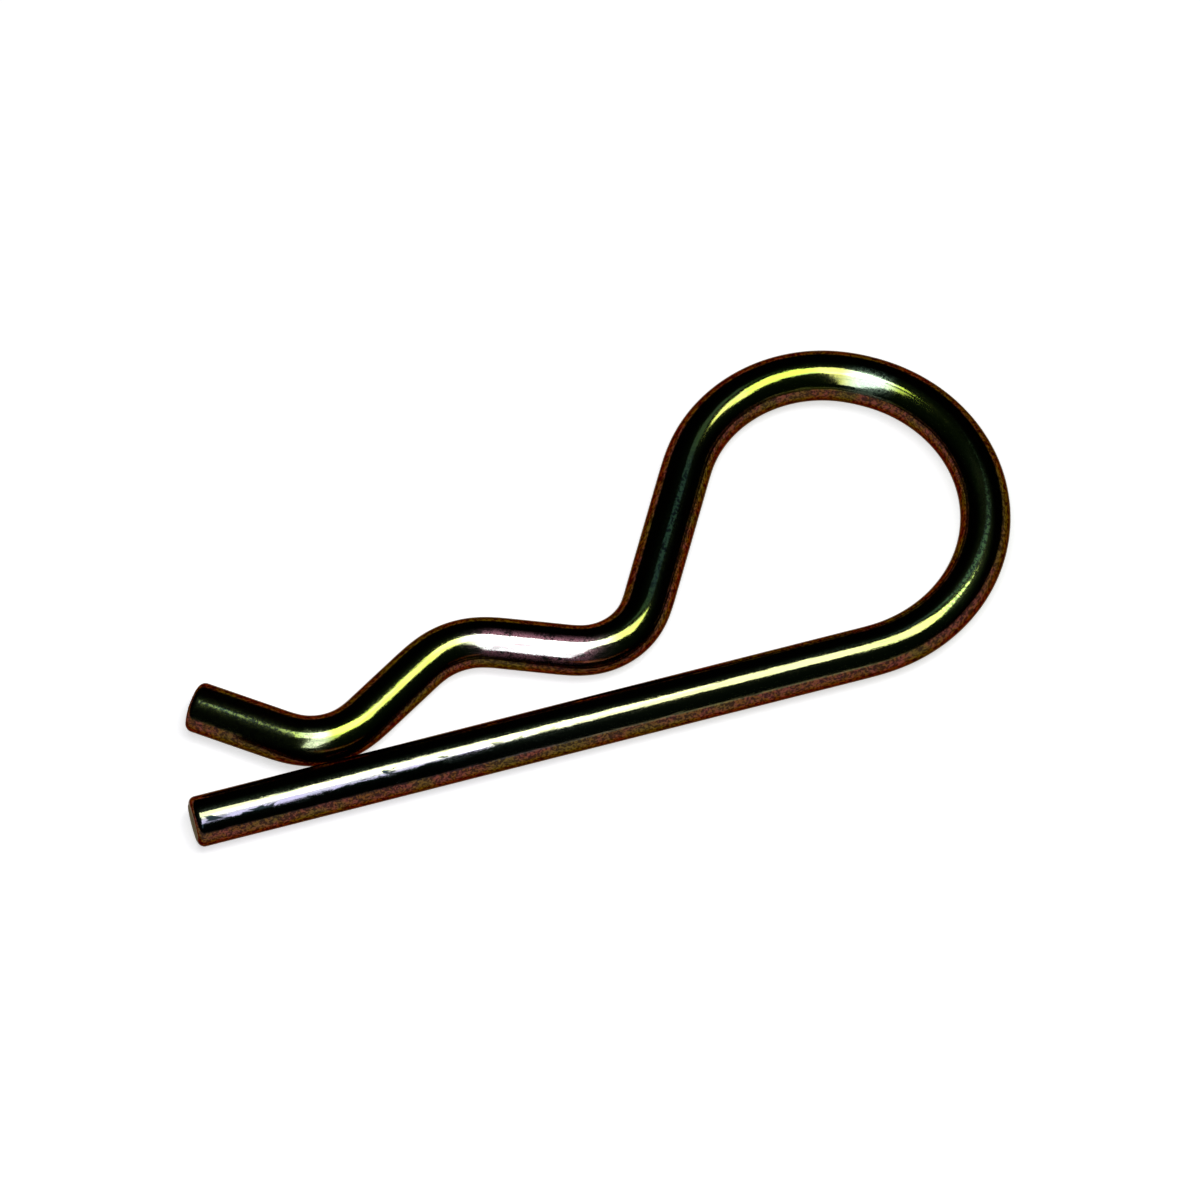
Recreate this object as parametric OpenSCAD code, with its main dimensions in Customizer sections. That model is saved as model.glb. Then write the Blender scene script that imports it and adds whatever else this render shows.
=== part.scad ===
// Hitch pin clip: one length of round spring wire, bent in one plane.
// A straight leg goes through the cross-hole of a shaft, and a wavy leg grips the shaft from outside.
// The clip lies flat: the wire touches z = 0, the straight leg runs along X with its tip towards -X,
// the eye is at the +X end, and the wavy leg is on the +Y side. All sizes are in millimetres.

/* [Wire] */
// Diameter of the wire
wire_d = 4.76; // [4:0.01:5.6]
// Radius that breaks the sharp corner of each cut end
end_round = 0.7; // [0.2:0.05:1.1]

/* [Straight leg and eye] */
// Length of the straight leg, from its tip to where the eye starts to turn
leg_l = 65; // [58:0.5:80]
// Inside diameter of the eye where it turns up from the straight leg
eye_d = 25; // [22.5:0.1:30]
// Inside diameter of the crown of the eye, which is wound a little tighter
crown_d = 21.7; // [18:0.1:24.5]
// Angle round the eye, counted from +X, at which the crown takes over
crown_from = 60; // [30:1:85]
// Length of the straight stretch between the eye's two curves
crown_flat = 0.6; // [0.3:0.1:3]

/* [Waist] */
// Gap along the leg between the crown's circle and the waist's circle, which sets the slope of the rise
neck = 4.9; // [3:0.1:9]
// Inside radius of the waist bend
waist_r = 4; // [3:0.1:6]
// Clear gap between the waist and the straight leg
waist_gap = 2.4; // [1:0.1:4]

/* [Hump over the shaft] */
// Distance along the leg from the waist to the crest of the hump
waist_to_crest = 12.2; // [11:0.1:16]
// Inside radius of the crest, on the shaft's side
crest_r = 5.2; // [4:0.1:6.5]
// Clear height between the crest and the straight leg
crest_gap = 6.3; // [5:0.1:7.5]

/* [Nip and flared tip] */
// Distance along the leg from the crest of the hump to the nip
crest_to_nip = 14.2; // [13:0.1:18]
// Inside radius of the nip bend
nip_r = 4.2; // [3:0.1:6]
// Clear gap at the nip, where the two legs all but touch
nip_gap = 0.15; // [0.1:0.05:1]
// Angle at which the free tip flares away from the straight leg
flare = 37; // [20:1:50]
// Length of the straight run at the free tip
flare_l = 9.2; // [5:0.1:12]

/* [Hidden] */

// Facets round the wire, and round a full turn of a bend
WIRE_FN = 40;
BEND_FN = 120;
// The wire swells by this much, at its radius, where it is bent
SWELL = 0.01;
// Length by which a run laps into the bend at each of its ends, where the swell keeps it wholly inside
LAP = 0.08;
// Side to which a bend turns, seen from above
LEFT = 1;
RIGHT = -1;

wire_r = wire_d / 2;

// Centreline radii of the bends
eye_c_r = eye_d / 2 + wire_r;
crown_c_r = crown_d / 2 + wire_r;
waist_c_r = waist_r + wire_r;
crest_c_r = crest_r + wire_r;
nip_c_r = nip_r + wire_r;

// Centres of the bends, in the plane of the clip: x from the straight leg's tip, y from its axis
eye_c = [leg_l, eye_c_r];
crown_c = eye_c + (eye_c_r - crown_c_r) * [cos(crown_from), sin(crown_from)]
    + crown_flat * [-sin(crown_from), cos(crown_from)];
waist_c = [crown_c.x - crown_c_r - neck - waist_c_r, wire_d + waist_gap + waist_c_r];
crest_c = [waist_c.x - waist_to_crest, wire_d + crest_gap - crest_c_r];
nip_c = [crest_c.x - crest_to_nip, wire_d + nip_gap + nip_c_r];

// The bends in order along the wire, each as centre, centreline radius and side
eye_bend = [eye_c, eye_c_r, LEFT];
crown_bend = [crown_c, crown_c_r, LEFT];
waist_bend = [waist_c, waist_c_r, RIGHT];
crest_bend = [crest_c, crest_c_r, LEFT];
nip_bend = [nip_c, nip_c_r, RIGHT];

// Heading of the straight run that leaves bend a and meets bend b, touching both of their circles.
// It is counted from +X, and all the runs past the eye head back towards -X, so they lie round 180 degrees.
function run_heading(a, b) =
    let (v = b[0] - a[0])
    (atan2(v.y, v.x) + asin((a[2] * a[1] - b[2] * b[1]) / norm(v)) + 360) % 360;

// Point of a bend where the wire has the given heading
function point_at(bend, heading) =
    bend[0] + bend[2] * bend[1] * [sin(heading), -cos(heading)];

// Headings of the wire at the crown's start and along each run
crown_heading = crown_from + 90;
rise_heading = run_heading(crown_bend, waist_bend);
hump_heading = run_heading(waist_bend, crest_bend);
fall_heading = run_heading(crest_bend, nip_bend);
flare_heading = 180 - flare;

// Middle of the clip's outline, which becomes x = 0, y = 0, and height of the wire's axis over z = 0
outline_x = (leg_l + eye_c_r + wire_r + SWELL) / 2;
outline_y = (crown_c.y + crown_c_r) / 2;
axis_z = wire_r + SWELL;

// Places what is modelled at the origin at a point of the clip's plane, turned to a heading
module lay(point, heading) {
    translate([point.x - outline_x, point.y - outline_y, axis_z])
        rotate([0, 0, heading])
            children();
}

// Straight run between two bends, which laps into both
module run(from, to) {
    way = to - from;
    lay(from, atan2(way.y, way.x))
        translate([-LAP, 0, 0])
            rotate([90, 0, 90])
                cylinder(r = wire_r, h = norm(way) + 2 * LAP, $fn = WIRE_FN);
}

// Straight run that starts at a cut tip with its corner broken, and laps into a bend at its other end
module tip_run(tip, heading, length) {
    lay(tip, heading)
        rotate([90, 0, 90])
            rotate_extrude($fn = WIRE_FN)
                tip_profile(length + LAP);
}

// Half of the lengthwise section of a run with a rounded tip at y = 0
module tip_profile(length) {
    square([wire_r - end_round, length]);
    translate([0, end_round])
        square([wire_r, length - end_round]);
    translate([wire_r - end_round, end_round])
        circle(r = end_round, $fn = WIRE_FN);
}

// Bend that turns the wire from one heading to another
module bend(bend, from, to) {
    first = bend[2] == LEFT ? from - 90 : to + 90;
    lay(bend[0], first)
        rotate_extrude(angle = abs(to - from), $fn = BEND_FN)
            translate([bend[1], 0])
                circle(r = wire_r + SWELL, $fn = WIRE_FN);
}

// The straight leg, from its tip to the start of the eye
module straight_leg() {
    tip_run([0, 0], 0, leg_l);
}

// The eye and its tighter crown
module eye() {
    bend(eye_bend, 0, crown_heading);
    run(point_at(eye_bend, crown_heading), point_at(crown_bend, crown_heading));
    bend(crown_bend, crown_heading, rise_heading);
}

// The steep run down from the crown, and the waist that turns it along the leg
module rise_and_waist() {
    run(point_at(crown_bend, rise_heading), point_at(waist_bend, rise_heading));
    bend(waist_bend, rise_heading, hump_heading);
}

// The hump that arches over the shaft, with its crest
module hump() {
    run(point_at(waist_bend, hump_heading), point_at(crest_bend, hump_heading));
    bend(crest_bend, hump_heading, fall_heading);
    run(point_at(crest_bend, fall_heading), point_at(nip_bend, fall_heading));
}

// The nip, and the tip that flares away to lead the shaft in
module nip_and_tip() {
    start = point_at(nip_bend, flare_heading);
    bend(nip_bend, fall_heading, flare_heading);
    tip_run(start + flare_l * [cos(flare_heading), sin(flare_heading)], flare_heading + 180, flare_l);
}

// The whole clip, from one cut end of the wire to the other
module clip_wire() {
    color([0.44, 0.37, 0.13]) {
        straight_leg();
        eye();
        rise_and_waist();
        hump();
        nip_and_tip();
    }
}

clip_wire();
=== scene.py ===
"""A hitch pin clip in yellow-zinc spring wire, dressed for its portrait.

The clip is one length of round wire, bent in one plane. It lies flat on a pale floor, as it does in the
photograph: the straight leg runs along X with its tip towards -X, and the wavy leg is on the +Y side.
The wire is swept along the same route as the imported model's, in the same frame, in metres.
"""

import logging
import math
from dataclasses import dataclass
from enum import Enum, IntEnum
from typing import Any, Iterator, Union

import bpy
import numpy as np
from mathutils import Matrix, Quaternion, Vector


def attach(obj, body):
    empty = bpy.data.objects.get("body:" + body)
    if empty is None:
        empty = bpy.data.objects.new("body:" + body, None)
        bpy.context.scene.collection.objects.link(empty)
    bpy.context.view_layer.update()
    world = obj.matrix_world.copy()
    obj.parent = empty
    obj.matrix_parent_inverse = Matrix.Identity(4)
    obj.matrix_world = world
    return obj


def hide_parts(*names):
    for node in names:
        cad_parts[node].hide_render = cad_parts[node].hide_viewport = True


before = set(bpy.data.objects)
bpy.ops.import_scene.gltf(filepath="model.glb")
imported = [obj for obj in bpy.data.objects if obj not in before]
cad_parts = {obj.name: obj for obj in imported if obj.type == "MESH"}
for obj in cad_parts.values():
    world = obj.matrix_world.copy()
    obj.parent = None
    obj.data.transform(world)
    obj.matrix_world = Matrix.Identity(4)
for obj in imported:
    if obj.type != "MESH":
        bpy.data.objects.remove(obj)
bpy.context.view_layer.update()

LOG = logging.getLogger("hitch_clip")
MM = 0.001
FULL_TURN = 2 * math.pi
RIGHT_ANGLE_DEG = 90.0
WHITE = (1.0, 1.0, 1.0)
DAYLIGHT = (0.93, 0.91, 1.00)
SKYLIGHT = (0.30, 0.50, 1.00)
EVEN_BLEND = 0.5

Number = Union[float, "Value"]
Colour = tuple[float, float, float]
Span = tuple[float, float]


class Side(Enum):
    """Side to which a bend turns the wire, seen from above."""

    LEFT = 1
    RIGHT = -1


class Mask(Enum):
    """Names of the attributes that the wire's mesh carries for its finish."""

    STRAIGHT = "straight_wire_mm"
    CUT = "cut_face"


class MixSocket(IntEnum):
    """Numbers of a Mix node's sockets for colours, because their names stand for other sockets too."""

    FACTOR = 0
    FIRST = 6
    SECOND = 7
    RESULT = 2


def heading_vector(heading: float) -> np.ndarray:
    """Returns the unit vector of a heading in the clip's plane."""
    return np.array([math.cos(heading), math.sin(heading)])


def smooth_step(share: np.ndarray) -> np.ndarray:
    """Returns a rise from 0 to 1 that starts and ends level."""
    return share * share * (3 - 2 * share)


@dataclass(frozen=True)
class Bend:
    """A bend of the wire: part of a circle that its centreline follows.

    The centre is in the clip's plane, with x from the straight leg's tip and y from its axis.
    """

    centre: np.ndarray
    radius: float
    side: Side

    def point_at(self, heading: float) -> np.ndarray:
        """Finds where the wire has a heading.

        Args:
            heading: Direction of travel along the wire, in radians from +X.

        Returns:
            The centreline's point in the clip's plane.
        """
        normal = np.array([math.sin(heading), -math.cos(heading)])
        return self.centre + self.side.value * self.radius * normal

    def heading_to(self, other: "Bend") -> float:
        """Finds the heading of the straight run that touches this bend's circle and the next one's.

        Args:
            other: The bend that the run leads to.

        Returns:
            The heading in radians, from 0 to a full turn.
        """
        way = other.centre - self.centre
        lift = (self.side.value * self.radius - other.side.value * other.radius) / np.linalg.norm(way)
        return (math.atan2(way[1], way[0]) + math.asin(lift)) % FULL_TURN


@dataclass(frozen=True)
class Stretch:
    """A stretch of centreline with one curvature, which is 0 on a straight run."""

    start: np.ndarray
    heading: float
    length: float
    curvature: float

    def point(self, distance: float) -> np.ndarray:
        """Finds a point of the stretch.

        Args:
            distance: Way along the stretch from its start.

        Returns:
            The point in the clip's plane.
        """
        if self.curvature == 0:
            return self.start + distance * heading_vector(self.heading)
        end = self.heading + distance * self.curvature
        turn = np.array([math.sin(end) - math.sin(self.heading), math.cos(self.heading) - math.cos(end)])
        return self.start + turn / self.curvature


@dataclass(frozen=True)
class ClipRoute:
    """Driving sizes of the clip, and the route that its wire takes."""

    wire_d: float = 4.76 * MM
    leg_l: float = 65 * MM
    eye_d: float = 25 * MM
    crown_d: float = 21.7 * MM
    crown_from: float = math.radians(60)
    crown_flat: float = 0.6 * MM
    neck: float = 4.9 * MM
    waist_r: float = 4 * MM
    waist_gap: float = 2.4 * MM
    waist_to_crest: float = 12.2 * MM
    crest_r: float = 5.2 * MM
    crest_gap: float = 6.3 * MM
    crest_to_nip: float = 14.2 * MM
    nip_r: float = 4.2 * MM
    nip_gap: float = 0.15 * MM
    flare: float = math.radians(37)
    flare_l: float = 9.2 * MM
    swell: float = 0.01 * MM

    @property
    def wire_r(self) -> float:
        """Radius of the wire."""
        return self.wire_d / 2

    def bends(self) -> list[Bend]:
        """Returns the bends in order along the wire: eye, crown, waist, crest and nip."""
        eye_r = self.eye_d / 2 + self.wire_r
        crown_r = self.crown_d / 2 + self.wire_r
        waist_r = self.waist_r + self.wire_r
        crest_r = self.crest_r + self.wire_r
        nip_r = self.nip_r + self.wire_r
        outward = heading_vector(self.crown_from)
        onward = heading_vector(self.crown_from + math.pi / 2)
        eye = np.array([self.leg_l, eye_r])
        crown = eye + (eye_r - crown_r) * outward + self.crown_flat * onward
        waist = np.array([crown[0] - crown_r - self.neck - waist_r, self.wire_d + self.waist_gap + waist_r])
        crest = np.array([waist[0] - self.waist_to_crest, self.wire_d + self.crest_gap - crest_r])
        nip = np.array([crest[0] - self.crest_to_nip, self.wire_d + self.nip_gap + nip_r])
        return [
            Bend(eye, eye_r, Side.LEFT),
            Bend(crown, crown_r, Side.LEFT),
            Bend(waist, waist_r, Side.RIGHT),
            Bend(crest, crest_r, Side.LEFT),
            Bend(nip, nip_r, Side.RIGHT),
        ]

    def middle(self) -> np.ndarray:
        """Returns the point of the clip's plane that lies at the frame's origin."""
        eye, crown = self.bends()[:2]
        reach = self.leg_l + eye.radius + self.wire_r + self.swell
        return np.array([reach / 2, (crown.centre[1] + crown.radius) / 2])

    def stretches(self) -> list[Stretch]:
        """Returns the straight runs and bends in order, from the leg's tip to the flared tip."""
        bends = self.bends()
        headings = [0.0, self.crown_from + math.pi / 2]
        headings += [a.heading_to(b) for a, b in zip(bends[1:-1], bends[2:])]
        headings.append(math.pi - self.flare)
        route: list[Stretch] = []
        here = np.zeros(2)
        for bend, before, after in zip(bends, headings, headings[1:]):
            touch = bend.point_at(before)
            route.append(Stretch(here, before, float(np.linalg.norm(touch - here)), 0.0))
            turn_l = abs(after - before) * bend.radius
            route.append(Stretch(touch, before, turn_l, bend.side.value / bend.radius))
            here = bend.point_at(after)
        route.append(Stretch(here, headings[-1], self.flare_l, 0.0))
        return route


@dataclass(frozen=True)
class Centreline:
    """The wire's centreline, eased where a straight run meets a bend, as springy wire is."""

    route: ClipRoute
    ease: float = 2.6 * MM
    ease_steps: int = 13

    def length(self) -> float:
        """Returns the length of the wire."""
        return sum(stretch.length for stretch in self.route.stretches())

    def sharp(self, along: np.ndarray) -> tuple[np.ndarray, np.ndarray]:
        """Follows the route before it is eased.

        Args:
            along: Distances from the leg's tip. Those past an end go on straight.

        Returns:
            The points in the clip's plane, and the curvature at each.
        """
        stretches = self.route.stretches()
        starts = np.cumsum([0.0] + [stretch.length for stretch in stretches[:-1]])
        which = np.clip(np.searchsorted(starts, along, side="right") - 1, 0, len(stretches) - 1)
        points = np.array([stretches[i].point(d - starts[i]) for i, d in zip(which, along)])
        return points, np.array([stretches[i].curvature for i in which])

    def follow(self, along: np.ndarray) -> tuple[np.ndarray, np.ndarray, np.ndarray]:
        """Follows the eased centreline.

        Args:
            along: Distances from the leg's tip.

        Returns:
            The points, the unit tangents and the signed curvatures, one row for each distance.
        """
        shifts = np.linspace(-self.ease / 2, self.ease / 2, self.ease_steps)
        spread = [self.sharp(along + shift) for shift in shifts]
        points = np.mean([p for p, _ in spread], axis=0)
        curvature = np.mean([k for _, k in spread], axis=0)
        tangents = spread[-1][0] - spread[0][0]
        return points, tangents / np.linalg.norm(tangents, axis=1, keepdims=True), curvature


@dataclass(frozen=True)
class CutEnd:
    """How the wire was cropped at its two ends: a burnished half, a torn half and a rolled edge."""

    round_r: float = 0.7 * MM
    corner_rings: int = 9
    face_rings: int = 10
    tear_depth: float = 0.16 * MM
    tear_from: float = 0.15
    tear_width: float = 0.35
    tear_rim: float = 1.15
    grain: float = 0.02 * MM

    def profile(self, wire_r: float) -> list[tuple[float, float]]:
        """Lists the rings from the middle of the face out to the full wire.

        Args:
            wire_r: Radius of the wire.

        Returns:
            Pairs of distance from the face and radius.
        """
        flat = wire_r - self.round_r
        face = [(0.0, flat * i / self.face_rings) for i in range(1, self.face_rings)]
        turns = [math.pi / 2 * i / self.corner_rings for i in range(self.corner_rings + 1)]
        return face + [(self.round_r * (1 - math.cos(t)), flat + self.round_r * math.sin(t)) for t in turns]

    def sink(self, across: np.ndarray, up: np.ndarray, wire_r: float, rng: np.random.Generator) -> np.ndarray:
        """Works out how far the torn half of the face lies behind the burnished half.

        Args:
            across: Places over the face in the clip's plane.
            up: Places over the face along Z.
            wire_r: Radius of the wire.
            rng: Source of the tear's grain.

        Returns:
            The depth at each place.
        """
        reach = np.clip((up / wire_r + self.tear_from) / self.tear_width, 0, 1)
        inside = np.clip(self.tear_rim - np.hypot(across, up) / wire_r, 0, 1)
        torn = smooth_step(reach) * inside
        return torn * (self.tear_depth + self.grain * rng.standard_normal(across.shape))


@dataclass(frozen=True)
class BentWire:
    """The wire itself: its section, how bending squeezed it, and its mesh.

    The squeeze and the bulge are for a bend as tight as the wire's own radius, and scale down with the bend.
    """

    route: ClipRoute
    end: CutEnd
    around: int = 72
    ring_pitch: float = 0.2 * MM
    squeeze: float = 0.039
    bulge: float = 0.0056
    seed: int = 11

    def rings(self, length: float) -> list[tuple[float, float, bool]]:
        """Lists every ring of the mesh from the leg's tip to the flared tip.

        Args:
            length: Length of the wire.

        Returns:
            For each ring, its distance along the wire, its radius and whether it lies on a cut face.
        """
        wire_r = self.route.wire_r
        tip = self.end.profile(wire_r)
        flat = len(tip) - self.end.corner_rings
        first = [(d, r, i < flat) for i, (d, r) in enumerate(tip)]
        last = [(length - d, r, cut) for d, r, cut in reversed(first)]
        body_l = length - 2 * self.end.round_r
        count = round(body_l / self.ring_pitch)
        body = [(self.end.round_r + body_l * i / count, wire_r, False) for i in range(1, count)]
        return first + body + last

    def vertices(self) -> tuple[np.ndarray, np.ndarray, np.ndarray]:
        """Works out the wire's points and what its finish reads from them.

        Returns:
            The points, their places on the wire before it was bent in millimetres, and how much each lies on
            a cut face.
        """
        line = Centreline(self.route)
        length = line.length()
        rings = self.rings(length)
        along = np.array([d for d, _, _ in rings])
        radius = np.array([r for _, r, _ in rings])
        cut = np.array([float(c) for _, _, c in rings])
        centre, tangent, curvature = line.follow(along)
        left = np.stack([-tangent[:, 1], tangent[:, 0]], axis=1)
        turns = np.arange(self.around) * FULL_TURN / self.around
        tightness = np.abs(curvature * self.route.wire_r)[:, None]
        sideways = radius[:, None] * np.cos(turns) * (1 - self.squeeze * tightness)
        upwards = radius[:, None] * np.sin(turns) * (1 + self.bulge * tightness)
        rng = np.random.default_rng(self.seed)
        depth = np.zeros_like(sideways)
        ends = ((along < self.end.round_r, 1.0), (along > length - self.end.round_r, -1.0))
        for chosen, inward in ends:
            sunk = self.end.sink(sideways[chosen], upwards[chosen], self.route.wire_r, rng)
            depth[chosen] = inward * sunk
        beside = sideways[..., None] * left[:, None, :]
        behind = depth[..., None] * tangent[:, None, :]
        plane = centre[:, None, :] + beside + behind - self.route.middle()
        height = self.route.wire_r + self.route.swell + upwards
        points = np.concatenate([plane, height[..., None]], axis=-1)
        lengthways = np.broadcast_to(along[:, None], sideways.shape)
        straight = np.stack([sideways, upwards, lengthways], axis=-1) / MM
        return self.capped(points, straight, np.broadcast_to(cut[:, None], sideways.shape))

    def capped(self, points: np.ndarray, straight: np.ndarray,
               cut: np.ndarray) -> tuple[np.ndarray, np.ndarray, np.ndarray]:
        """Adds the middle point of each cut face.

        Args:
            points: Points of the rings.
            straight: The same points on the straight wire.
            cut: How much each lies on a cut face.

        Returns:
            The three lists, with one row for each point and the two middle points last.
        """
        middles = [points[0].mean(axis=0), points[-1].mean(axis=0)]
        straight_middles = [straight[0].mean(axis=0), straight[-1].mean(axis=0)]
        return (
            np.concatenate([points.reshape(-1, 3), middles]),
            np.concatenate([straight.reshape(-1, 3), straight_middles]),
            np.concatenate([cut.reshape(-1), np.ones(len(middles))]),
        )

    def faces(self, ring_count: int) -> Iterator[tuple[int, ...]]:
        """Yields each face of the wire, first its sides and then its two ends.

        Args:
            ring_count: How many rings the mesh has.

        Yields:
            The face's points, counted so that it faces outwards.
        """
        n = self.around
        for ring in range(ring_count - 1):
            for i in range(n):
                j = (i + 1) % n
                yield ring * n + i, ring * n + j, (ring + 1) * n + j, (ring + 1) * n + i
        first_middle, last_middle = ring_count * n, ring_count * n + 1
        last = (ring_count - 1) * n
        for i in range(n):
            j = (i + 1) % n
            yield first_middle, j, i
            yield last_middle, last + i, last + j

    def mesh(self, name: str) -> bpy.types.Mesh:
        """Builds the wire's mesh with the attributes that its finish reads.

        Args:
            name: Name of the mesh.

        Returns:
            The mesh, smooth all over.
        """
        points, straight, cut = self.vertices()
        mesh = bpy.data.meshes.new(name)
        ring_count = (len(points) - 2) // self.around
        mesh.from_pydata(points.tolist(), [], list(self.faces(ring_count)))
        mesh.shade_smooth()
        cut_layer = mesh.attributes.new(Mask.CUT.value, "FLOAT", "POINT")
        cut_layer.data.foreach_set("value", cut.astype(np.float32))
        straight_layer = mesh.attributes.new(Mask.STRAIGHT.value, "FLOAT_VECTOR", "POINT")
        straight_layer.data.foreach_set("vector", straight.astype(np.float32).ravel())
        mesh.validate()
        return mesh


@dataclass(frozen=True)
class Value:
    """A number in a node tree. An expression on values adds the Math nodes that work it out."""

    graph: "Graph"
    socket: bpy.types.NodeSocket

    def _math(self, operation: str, *terms: Number, clamp: bool = False) -> "Value":
        """Adds one Math node and returns its result."""
        settings = {"operation": operation, "use_clamp": clamp}
        return self.graph.value("ShaderNodeMath", settings, dict(enumerate(terms)))

    def __add__(self, other: Number) -> "Value":
        """Returns the sum."""
        return self._math("ADD", self, other)

    def __radd__(self, other: Number) -> "Value":
        """Returns the sum, with the number first."""
        return self._math("ADD", other, self)

    def __sub__(self, other: Number) -> "Value":
        """Returns the difference."""
        return self._math("SUBTRACT", self, other)

    def __rsub__(self, other: Number) -> "Value":
        """Returns the difference from a number."""
        return self._math("SUBTRACT", other, self)

    def __mul__(self, other: Number) -> "Value":
        """Returns the product."""
        return self._math("MULTIPLY", self, other)

    def __rmul__(self, other: Number) -> "Value":
        """Returns the product, with the number first."""
        return self._math("MULTIPLY", other, self)

    def maximum(self, other: Number) -> "Value":
        """Returns the larger of the two."""
        return self._math("MAXIMUM", self, other)

    def distance_to(self, place: float) -> "Value":
        """Returns how far the value is from a number."""
        return self._math("ABSOLUTE", self - place)

    def clamped(self) -> "Value":
        """Returns the value held between 0 and 1."""
        return self._math("ADD", self, 0.0, clamp=True)

    def band(self, low: float, high: float) -> "Value":
        """Rises smoothly from 0 at one value to 1 at another.

        Args:
            low: Value that gives 0.
            high: Value that gives 1.

        Returns:
            The smooth step.
        """
        settings = {"interpolation_type": "SMOOTHSTEP"}
        inputs = {"Value": self, "From Min": low, "From Max": high}
        return self.graph.value("ShaderNodeMapRange", settings, inputs)


@dataclass(frozen=True)
class Graph:
    """The node tree of one material, or of the world, being built."""

    tree: bpy.types.NodeTree

    def node(self, kind: str, settings: dict[str, Any] | None = None,
             inputs: dict[Any, Any] | None = None) -> bpy.types.Node:
        """Adds a node.

        Args:
            kind: Blender's name for the node's type.
            settings: What is set on the node first, such as its operation.
            inputs: Values and links of its sockets, by name or by number.

        Returns:
            The node.
        """
        node = self.tree.nodes.new(kind)
        for name, setting in (settings or {}).items():
            setattr(node, name, setting)
        for key, given in (inputs or {}).items():
            source = given.socket if isinstance(given, Value) else given
            if isinstance(source, bpy.types.NodeSocket):
                self.tree.links.new(source, node.inputs[key])
            else:
                node.inputs[key].default_value = source
        return node

    def value(self, kind: str, settings: dict[str, Any] | None = None, inputs: dict[Any, Any] | None = None,
              output: int | str = 0) -> Value:
        """Adds a node and returns one of its outputs as a value.

        Args:
            kind: Blender's name for the node's type.
            settings: What is set on the node first.
            inputs: Values and links of its sockets.
            output: The output's name or number.

        Returns:
            The output, wrapped for use in expressions.
        """
        return Value(self, self.node(kind, settings, inputs).outputs[output])

    def mix(self, factor: Number, first: Any, second: Any) -> bpy.types.NodeSocket:
        """Mixes two colours.

        Args:
            factor: 0 gives the first colour and 1 the second.
            first: A colour or a socket.
            second: A colour or a socket.

        Returns:
            The mixed colour's socket.
        """
        inputs = {MixSocket.FACTOR: factor, MixSocket.FIRST: rgba(first), MixSocket.SECOND: rgba(second)}
        return self.node("ShaderNodeMix", {"data_type": "RGBA"}, inputs).outputs[MixSocket.RESULT]


def rgba(colour: Any) -> Any:
    """Returns a colour with its alpha added, or a socket as it is."""
    return (*colour, 1.0) if isinstance(colour, tuple) and len(colour) == 3 else colour


def new_graph(material: bpy.types.Material) -> Graph:
    """Empties a material's node tree and returns it as a graph."""
    material.use_nodes = True
    material.node_tree.nodes.clear()
    return Graph(material.node_tree)


@dataclass(frozen=True)
class Pattern:
    """A noise that lies on the wire as it was before it was bent."""

    per_mm: float
    detail: float
    warp: float = 0.0
    drawn: float = 1.0

    def over(self, graph: Graph, straight: bpy.types.NodeSocket) -> Value:
        """Lays the pattern over the wire.

        Args:
            graph: The material's graph.
            straight: Places on the straight wire, in millimetres.

        Returns:
            The noise, mostly from 0.3 to 0.7.
        """
        stretch = {0: straight, 1: (1.0, 1.0, 1 / self.drawn)}
        where = graph.node("ShaderNodeVectorMath", {"operation": "MULTIPLY"}, stretch).outputs[0]
        inputs = {"Vector": where, "Scale": self.per_mm, "Detail": self.detail, "Distortion": self.warp}
        return graph.value("ShaderNodeTexNoise", {}, inputs)


@dataclass(frozen=True)
class Zone:
    """A stretch of the wire, in millimetres from the leg's tip, where the film came out otherwise.

    The film has a colour of its own there, and is at least as rough as dull says. The haze is the part of the
    light that it scatters, and spread is how wide, where that is wider than elsewhere. Mottle is how far dark
    specks break up the film.
    """

    middle: float
    reach: float
    fade: float
    film: Colour
    haze: Colour
    scatter: float = 0.0
    dull: float = 0.0
    spread: float = 0.0
    mottle: float = 0.0

    def strength(self, along: Value) -> Value:
        """Fades the zone in and out along the wire.

        Args:
            along: Distance from the leg's tip.

        Returns:
            1 inside the zone and 0 outside it.
        """
        return 1 - along.distance_to(self.middle).band(self.reach - self.fade, self.reach + self.fade)


@dataclass(frozen=True)
class Place:
    """Where a point of the surface lies on the straight wire, and how the finish varies there."""

    along: Value
    aside: Value
    cut: Value
    patches: Value
    bloom: Value
    streaks: Value
    grain: Value
    specks: Value


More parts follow.
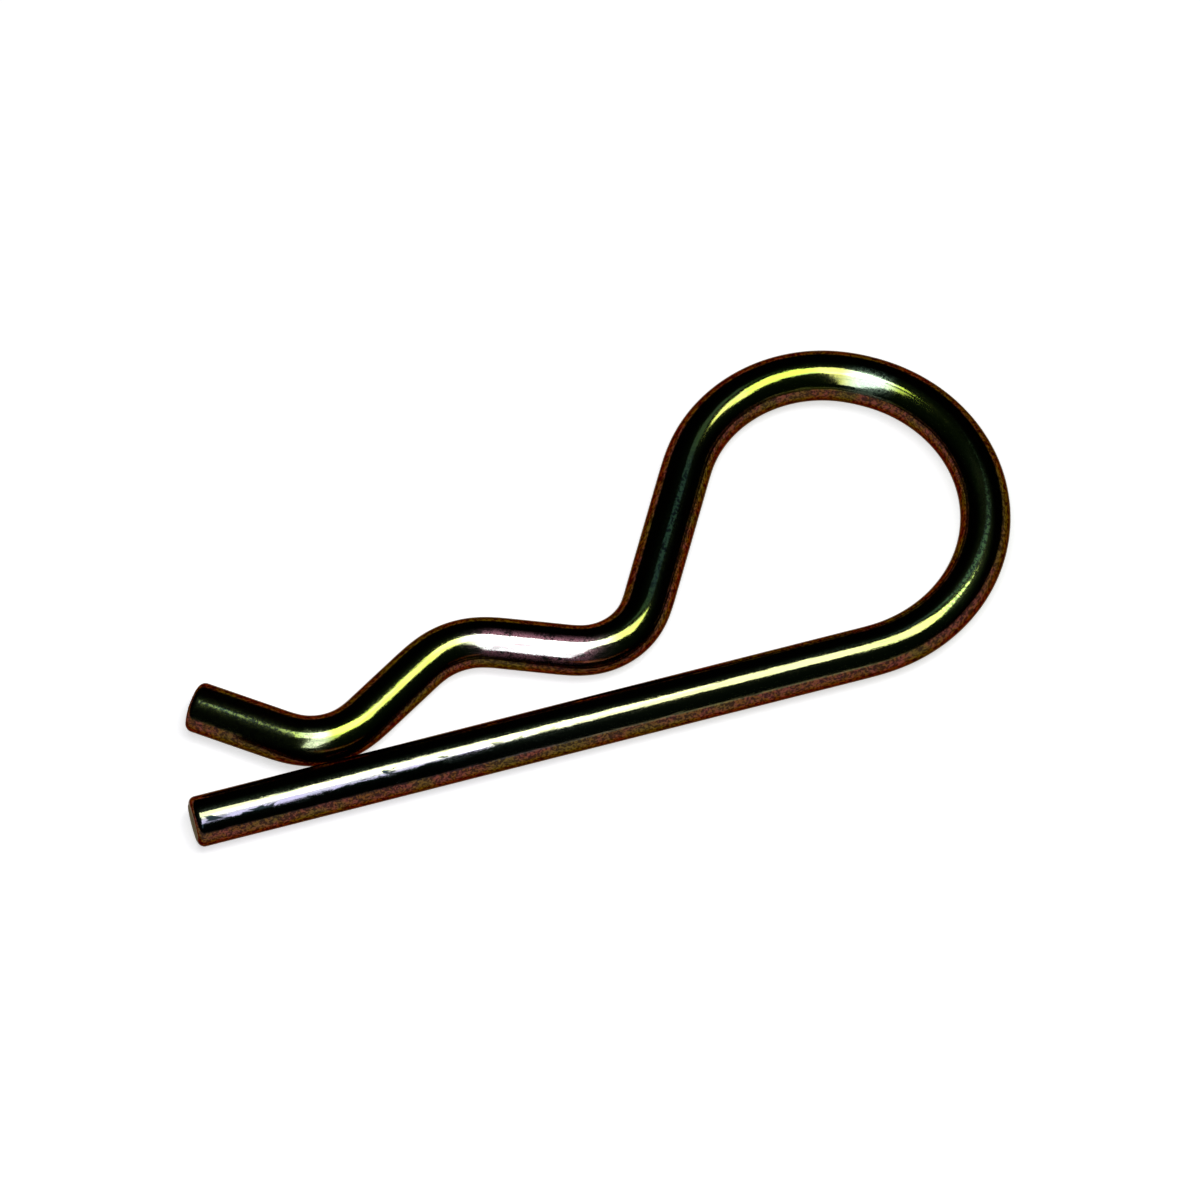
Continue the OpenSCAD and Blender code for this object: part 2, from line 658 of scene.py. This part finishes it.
@dataclass(frozen=True)
class YellowZinc:
    """Yellow-passivated zinc over drawn spring wire: dark, glossy and a little iridescent.

    The passivation is a clear film. Seen squarely it shines lime and gold, and seen aslant it turns brown and
    rose. Its thickness drifts along the wire, so the colours do too. In some zones it came out pale or dull,
    and scatters part of the light. The straight leg is lavender on its lower side near the tip, with dark
    stains.
    """

    lime: Colour = (0.230, 0.305, 0.036)
    gold: Colour = (0.290, 0.305, 0.075)
    gold_span: Span = (0.38, 0.62)
    teal: Colour = (0.060, 0.120, 0.090)
    teal_span: Span = (0.50, 0.72)
    teal_most: float = 0.4
    brown: Colour = (0.108, 0.042, 0.012)
    rose: Colour = (0.132, 0.037, 0.026)
    rose_span: Span = (0.40, 0.60)
    bronze: Colour = (0.092, 0.060, 0.014)
    bronze_span: Span = (0.45, 0.60)
    soot: Colour = (0.010, 0.005, 0.006)
    soot_span: Span = (0.42, 0.56)
    soot_most: float = 0.82
    edge_tint: Colour = (0.420, 0.360, 0.300)
    cut_colour: Colour = (0.140, 0.125, 0.085)
    haze: Colour = (0.120, 0.190, 0.100)
    haze_least: float = 0.012
    haze_span: Span = (0.76, 1.10)
    haze_spread: float = 0.33
    gloss: float = 0.095
    dull: float = 0.17
    cut_dull: float = 0.45
    wear_span: Span = (0.95, 1.45)
    aslant_span: Span = (0.07, 0.20)
    stain: Colour = (0.008, 0.014, 0.016)
    stain_slope: float = 0.38
    stain_span: Span = (0.90, 0.98)
    mottle_span: Span = (0.46, 0.56)
    pale_wobble: float = 1.2
    pale_span: Span = (-0.60, 0.10)
    pale_least: float = 0.15
    pale_most: float = 0.95
    leg_tip: Zone = Zone(
        middle=0.0, reach=34.0, fade=14.0, scatter=0.10,
        film=(0.265, 0.255, 0.350), haze=(0.420, 0.380, 0.560),
    )
    leg_run: Zone = Zone(
        middle=32.0, reach=36.0, fade=9.0,
        film=(0.310, 0.320, 0.140), haze=(0.120, 0.190, 0.100),
    )
    eye_start: Zone = Zone(
        middle=81.0, reach=8.5, fade=3.0, scatter=0.10, dull=0.13, mottle=0.8,
        film=(0.540, 0.740, 0.180), haze=(0.260, 0.360, 0.140),
    )
    crown: Zone = Zone(
        middle=102.9, reach=1.9, fade=1.4, scatter=0.45,
        film=(0.500, 0.640, 0.460), haze=(0.300, 0.460, 0.300),
    )
    rise: Zone = Zone(
        middle=133.0, reach=7.5, fade=3.0, scatter=0.04, dull=0.12, mottle=0.95,
        film=(0.150, 0.270, 0.085), haze=(0.100, 0.160, 0.080),
    )
    hump: Zone = Zone(
        middle=152.9, reach=5.9, fade=2.2, scatter=0.40, spread=0.50,
        film=(0.590, 0.640, 0.580), haze=(0.620, 0.270, 0.340),
    )
    nip: Zone = Zone(
        middle=177.0, reach=1.0, fade=0.7, scatter=0.25,
        film=(0.430, 0.500, 0.290), haze=(0.320, 0.400, 0.180),
    )
    flared_tip: Zone = Zone(
        middle=187.0, reach=9.0, fade=2.6, scatter=0.03, dull=0.17, mottle=0.9,
        film=(0.120, 0.155, 0.048), haze=(0.130, 0.170, 0.060),
    )
    patches: Pattern = Pattern(0.16, 3.0, 0.6)
    bloom: Pattern = Pattern(1.1, 4.0, 0.8, drawn=3.0)
    streaks: Pattern = Pattern(5.0, 3.0, drawn=18.0)
    grain: Pattern = Pattern(3.4, 5.0, 0.8)
    specks: Pattern = Pattern(1.3, 3.0, 0.4)
    grain_relief: float = 0.0035 * MM
    streak_relief: float = 0.005 * MM
    bloom_relief: float = 0.014 * MM

    def whole_zones(self) -> tuple[Zone, ...]:
        """Returns the zones that go all round the wire, in order along it. The leg's tip is apart."""
        return self.leg_run, self.eye_start, self.crown, self.rise, self.hump, self.nip, self.flared_tip

    def place(self, graph: Graph) -> Place:
        """Reads where a point of the surface lies, and lays the patterns over the wire.

        Args:
            graph: The material's graph.

        Returns:
            The point's place.
        """
        straight_map = graph.node("ShaderNodeAttribute", {"attribute_name": Mask.STRAIGHT.value})
        straight = straight_map.outputs["Vector"]
        return Place(
            along=graph.value("ShaderNodeSeparateXYZ", {}, {0: straight}, "Z"),
            aside=graph.value("ShaderNodeSeparateXYZ", {}, {0: straight}, "X"),
            cut=graph.value("ShaderNodeAttribute", {"attribute_name": Mask.CUT.value}, output="Fac"),
            patches=self.patches.over(graph, straight),
            bloom=self.bloom.over(graph, straight),
            streaks=self.streaks.over(graph, straight),
            grain=self.grain.over(graph, straight),
            specks=self.specks.over(graph, straight),
        )

    def stained(self, place: Place) -> Value:
        """Works out the dark stains that bite into the pale film of the leg's tip from its lower side.

        Args:
            place: Where the point lies.

        Returns:
            1 in a stain and 0 outside it.
        """
        bite = place.bloom - place.aside * self.stain_slope
        return self.leg_tip.strength(place.along) * bite.band(*self.stain_span)

    def square_colour(self, graph: Graph, place: Place) -> bpy.types.NodeSocket:
        """Works out the film's colour where it is seen squarely.

        Args:
            graph: The material's graph.
            place: Where the point lies.

        Returns:
            The colour.
        """
        colour = graph.mix(place.patches.band(*self.gold_span), self.lime, self.gold)
        lower = 1 - (place.bloom * self.pale_wobble + place.aside).band(*self.pale_span)
        paled = self.pale_least + lower * (self.pale_most - self.pale_least)
        mottled = place.grain.band(*self.mottle_span)
        for zone in self.whole_zones():
            strength = zone.strength(place.along)
            colour = graph.mix(strength, colour, zone.film)
            colour = graph.mix(strength * mottled * zone.mottle, colour, self.stain)
        colour = graph.mix(self.leg_tip.strength(place.along) * paled, colour, self.leg_tip.film)
        colour = graph.mix(place.streaks.band(*self.teal_span) * self.teal_most, colour, self.teal)
        colour = graph.mix(self.stained(place), colour, self.stain)
        return graph.mix(place.cut, colour, self.cut_colour)

    def aslant_colour(self, graph: Graph, place: Place) -> bpy.types.NodeSocket:
        """Works out the film's colour where it is seen aslant.

        Args:
            graph: The material's graph.
            place: Where the point lies.

        Returns:
            The colour.
        """
        colour = graph.mix(place.specks.band(*self.rose_span), self.brown, self.rose)
        colour = graph.mix(place.patches.band(*self.bronze_span), colour, self.bronze)
        colour = graph.mix(place.grain.band(*self.soot_span) * self.soot_most, colour, self.soot)
        return graph.mix(place.cut, colour, self.cut_colour)

    def metal(self, graph: Graph, colour: bpy.types.NodeSocket, roughness: Number,
              relief: bpy.types.NodeSocket) -> bpy.types.NodeSocket:
        """Adds a polished metal.

        Args:
            graph: The material's graph.
            colour: What it reflects.
            roughness: How dull it is.
            relief: Its fine relief, as a normal.

        Returns:
            The shader.
        """
        inputs = {
            "Base Color": colour,
            "Metallic": 1.0,
            "Roughness": roughness,
            "Specular Tint": rgba(self.edge_tint),
            "Normal": relief,
        }
        return graph.node("ShaderNodeBsdfPrincipled", {}, inputs).outputs[0]

    def facing_metal(self, graph: Graph, place: Place, roughness: Value,
                     relief: bpy.types.NodeSocket) -> bpy.types.NodeSocket:
        """Adds the metal as it is seen squarely: clear, with a haze over it in the pale and dull zones.

        Args:
            graph: The material's graph.
            place: Where the point lies.
            roughness: How dull the clear metal is.
            relief: Its fine relief, as a normal.

        Returns:
            The shader.
        """
        unstained = self.leg_tip.strength(place.along) * (1 - self.stained(place))
        colour = graph.mix(unstained, self.haze, self.leg_tip.haze)
        scattered = unstained * self.leg_tip.scatter
        spread: Number = self.haze_spread
        for zone in self.whole_zones():
            strength = zone.strength(place.along)
            colour = graph.mix(strength, colour, zone.haze)
            scattered = scattered.maximum(strength * zone.scatter)
            spread = (strength * zone.spread).maximum(spread)
        uneven = (place.bloom + place.grain).band(*self.haze_span)
        part = self.haze_least + scattered * uneven
        clear = self.metal(graph, self.square_colour(graph, place), roughness, relief)
        hazy = self.metal(graph, colour, spread, relief)
        return graph.node("ShaderNodeMixShader", {}, {0: part, 1: clear, 2: hazy}).outputs[0]

    def material(self) -> bpy.types.Material:
        """Builds the finish.

        Returns:
            The material.
        """
        material = bpy.data.materials.new("yellow_zinc")
        graph = new_graph(material)
        place = self.place(graph)
        wear = (place.grain + place.streaks).band(*self.wear_span)
        roughness = (self.gloss + wear * (self.dull - self.gloss)).maximum(place.cut * self.cut_dull)
        for zone in self.whole_zones():
            roughness = roughness.maximum(zone.strength(place.along) * zone.dull)
        height = (place.grain * self.grain_relief + place.streaks * self.streak_relief
                  + place.bloom * self.bloom_relief)
        bump = {"Height": height, "Distance": 1.0, "Strength": 1.0}
        relief = graph.node("ShaderNodeBump", {}, bump).outputs[0]
        facing = graph.value("ShaderNodeLayerWeight", {}, {"Blend": EVEN_BLEND}, "Facing")
        squarely = self.facing_metal(graph, place, roughness, relief)
        aslant = self.metal(graph, self.aslant_colour(graph, place), roughness, relief)
        layers = {0: facing.band(*self.aslant_span), 1: squarely, 2: aslant}
        film = graph.node("ShaderNodeMixShader", {}, layers)
        graph.node("ShaderNodeOutputMaterial", {}, {"Surface": film.outputs[0]})
        return material


@dataclass(frozen=True)
class PaleFloor:
    """The plain white sheet that the clip lies on. It keeps the clip's shadow."""

    colour: Colour = (0.80, 0.80, 0.80)
    lift: float = 0.62
    half: float = 6.0

    def material(self) -> bpy.types.Material:
        """Builds the sheet's material, which looks a little whiter than its light alone makes it.

        Returns:
            The material.
        """
        material = bpy.data.materials.new("pale_floor")
        graph = new_graph(material)
        path = graph.node("ShaderNodeLightPath")
        camera = Value(graph, path.outputs["Is Camera Ray"])
        glossy = Value(graph, path.outputs["Is Glossy Ray"])
        through = Value(graph, path.outputs["Is Transmission Ray"])
        seen = (camera + glossy + through).clamped()
        sheet = graph.node("ShaderNodeBsdfDiffuse", {}, {"Color": rgba(self.colour)})
        glow = graph.node("ShaderNodeEmission", {}, {"Strength": seen * self.lift})
        both = graph.node("ShaderNodeAddShader", {}, {0: sheet.outputs[0], 1: glow.outputs[0]})
        graph.node("ShaderNodeOutputMaterial", {}, {"Surface": both.outputs[0]})
        return material

    def build(self) -> bpy.types.Object:
        """Builds the sheet.

        Returns:
            The floor, marked as stage.
        """
        mesh = bpy.data.meshes.new("floor")
        half = self.half
        corners = [(-half, -half, 0), (half, -half, 0), (half, half, 0), (-half, half, 0)]
        mesh.from_pydata(corners, [], [tuple(range(len(corners)))])
        mesh.materials.append(self.material())
        floor = bpy.data.objects.new("floor", mesh)
        bpy.context.scene.collection.objects.link(floor)
        return floor


@dataclass(frozen=True)
class View:
    """The photograph's viewing direction: tilted back from straight down, and turned about the plumb line."""

    tilt: float = math.radians(28)
    turn: float = math.radians(15.91)
    distance: float = 835.5 * MM
    target: tuple[float, float, float] = (1.12 * MM, -2.88 * MM, 2.39 * MM)
    lens: float = 270.0
    sensor: float = 36.0
    near: float = 10 * MM
    far: float = 20.0

    def direction(self, right: float, up: float) -> Vector:
        """Finds a direction given as angles from straight up, as the picture's right and up have them.

        Args:
            right: Degrees towards the picture's right.
            up: Degrees towards the picture's top.

        Returns:
            The unit vector in the frame.
        """
        away = math.radians(math.hypot(right, up))
        side = Vector((right, up, 0)).normalized() * math.sin(away)
        return Vector((
            side.x * math.cos(self.turn) + side.y * math.sin(self.turn),
            side.y * math.cos(self.turn) - side.x * math.sin(self.turn),
            math.cos(away),
        ))

    def build(self) -> bpy.types.Object:
        """Makes the camera and gives it to the scene.

        Returns:
            The camera.
        """
        data = bpy.data.cameras.new("portrait")
        data.lens = self.lens
        data.sensor_width = self.sensor
        data.clip_start = self.near
        data.clip_end = self.far
        camera = bpy.data.objects.new("portrait", data)
        back = self.direction(0, -math.degrees(self.tilt))
        camera.location = Vector(self.target) + back * self.distance
        up = self.direction(0, RIGHT_ANGLE_DEG - math.degrees(self.tilt))
        right = up.cross(back)
        camera.rotation_mode = "QUATERNION"
        camera.rotation_quaternion = turn_to(right, up, back)
        bpy.context.scene.collection.objects.link(camera)
        bpy.context.scene.camera = camera
        return camera


def turn_to(right: Vector, up: Vector, back: Vector) -> Quaternion:
    """Returns the rotation that turns X, Y and Z to the three vectors."""
    return Matrix((right, up, back)).transposed().to_quaternion()


@dataclass(frozen=True)
class Softbox:
    """A lamp with a plain rectangular face.

    Its place is an angle from straight up, given in degrees to the picture's right and top, and a distance.
    Spin turns its face in its own plane, in degrees too.
    """

    name: str
    right: float
    up: float
    distance: float
    width: float
    height: float
    spin: float
    radiance: float
    colour: Colour = WHITE
    level: bool = False

    def build(self, view: View) -> bpy.types.Object:
        """Makes the lamp, facing the clip, or straight down where it hangs level.

        Args:
            view: Gives the directions of the picture's right and up.

        Returns:
            The lamp.
        """
        data = bpy.data.lights.new(self.name, "AREA")
        data.shape = "RECTANGLE"
        data.size = self.width
        data.size_y = self.height
        data.color = self.colour
        data.energy = self.radiance * math.pi * self.width * self.height
        lamp = bpy.data.objects.new(self.name, data)
        away = view.direction(self.right, self.up)
        lamp.location = Vector(view.target) + away * self.distance
        back = Vector((0, 0, 1)) if self.level else away
        across = view.direction(RIGHT_ANGLE_DEG, 0)
        across = (across - back * across.dot(back)).normalized()
        up = back.cross(across)
        spin = math.radians(self.spin)
        turned_across = across * math.cos(spin) + up * math.sin(spin)
        turned_up = up * math.cos(spin) - across * math.sin(spin)
        lamp.rotation_mode = "QUATERNION"
        lamp.rotation_quaternion = turn_to(turned_across, turned_up, back)
        lamp.visible_camera = False
        bpy.context.scene.collection.objects.link(lamp)
        return lamp


@dataclass(frozen=True)
class Studio:
    """Floor, lamps and surroundings.

    The key is a broad lamp overhead, the halo a faint blue glow beside it, and the strip hangs near the clip.
    """

    key: Softbox = Softbox(
        "key", right=10.6, up=-3.2, distance=0.91, width=0.76, height=0.42, spin=8.6, radiance=4.4,
    )
    halo: Softbox = Softbox(
        "halo", right=16.0, up=24.0, distance=1.1, width=0.38, height=0.20, spin=0.0, radiance=0.36,
        colour=SKYLIGHT,
    )
    strip: Softbox = Softbox(
        "strip", right=-7.7, up=-43.0, distance=0.144, width=0.04, height=0.21, spin=-12.4, radiance=2.9,
        colour=DAYLIGHT, level=True,
    )
    dark: Colour = (0.002, 0.005, 0.004)
    rim_from: float = 0.0
    rim_to: float = 0.10

    def surroundings(self) -> None:
        """Makes the world: a dark room above a low white surround."""
        world = bpy.data.worlds.new("studio")
        world.use_nodes = True
        world.node_tree.nodes.clear()
        graph = Graph(world.node_tree)
        direction = graph.node("ShaderNodeTexCoord").outputs["Generated"]
        height = graph.value("ShaderNodeSeparateXYZ", {}, {0: direction}, "Z")
        colour = graph.mix(height.band(self.rim_from, self.rim_to), WHITE, self.dark)
        shader = graph.node("ShaderNodeBackground", {}, {"Color": colour, "Strength": 1.0})
        graph.node("ShaderNodeOutputWorld", {}, {"Surface": shader.outputs[0]})
        bpy.context.scene.world = world

    def build(self, view: View) -> None:
        """Makes the whole studio.

        Args:
            view: Gives the directions of the picture's right and up.
        """
        PaleFloor().build()
        self.surroundings()
        for lamp in (self.key, self.halo, self.strip):
            lamp.build(view)


@dataclass(frozen=True)
class HitchClip:
    """The clip: one bent wire in one finish."""

    node: str = "clip_wire"
    body: str = "root"
    slot: str = "yellow_zinc"
    route: ClipRoute = ClipRoute()
    end: CutEnd = CutEnd()
    finish: YellowZinc = YellowZinc()

    def build(self) -> bpy.types.Object:
        """Builds the wire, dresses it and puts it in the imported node's place.

        Returns:
            The wire's object.
        """
        mesh = BentWire(self.route, self.end).mesh("bent_wire")
        mesh.materials.append(self.finish.material())
        wire = bpy.data.objects.new("bent_wire", mesh)
        bpy.context.scene.collection.objects.link(wire)
        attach(wire, self.body)
        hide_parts(self.node)
        return wire


def main() -> None:
    """Builds the clip and its studio, and reports each piece."""
    logging.basicConfig(level=logging.INFO, format="%(name)s: %(message)s")
    view = View()
    view.build()
    wire = HitchClip().build()
    wire_l = Centreline(ClipRoute()).length() / MM
    LOG.info("%s: %d faces, %.1f mm of wire", wire.name, len(wire.data.polygons), wire_l)
    Studio().build(view)
    bpy.context.scene.view_settings.view_transform = "Standard"


if __name__ == "__main__":
    main()
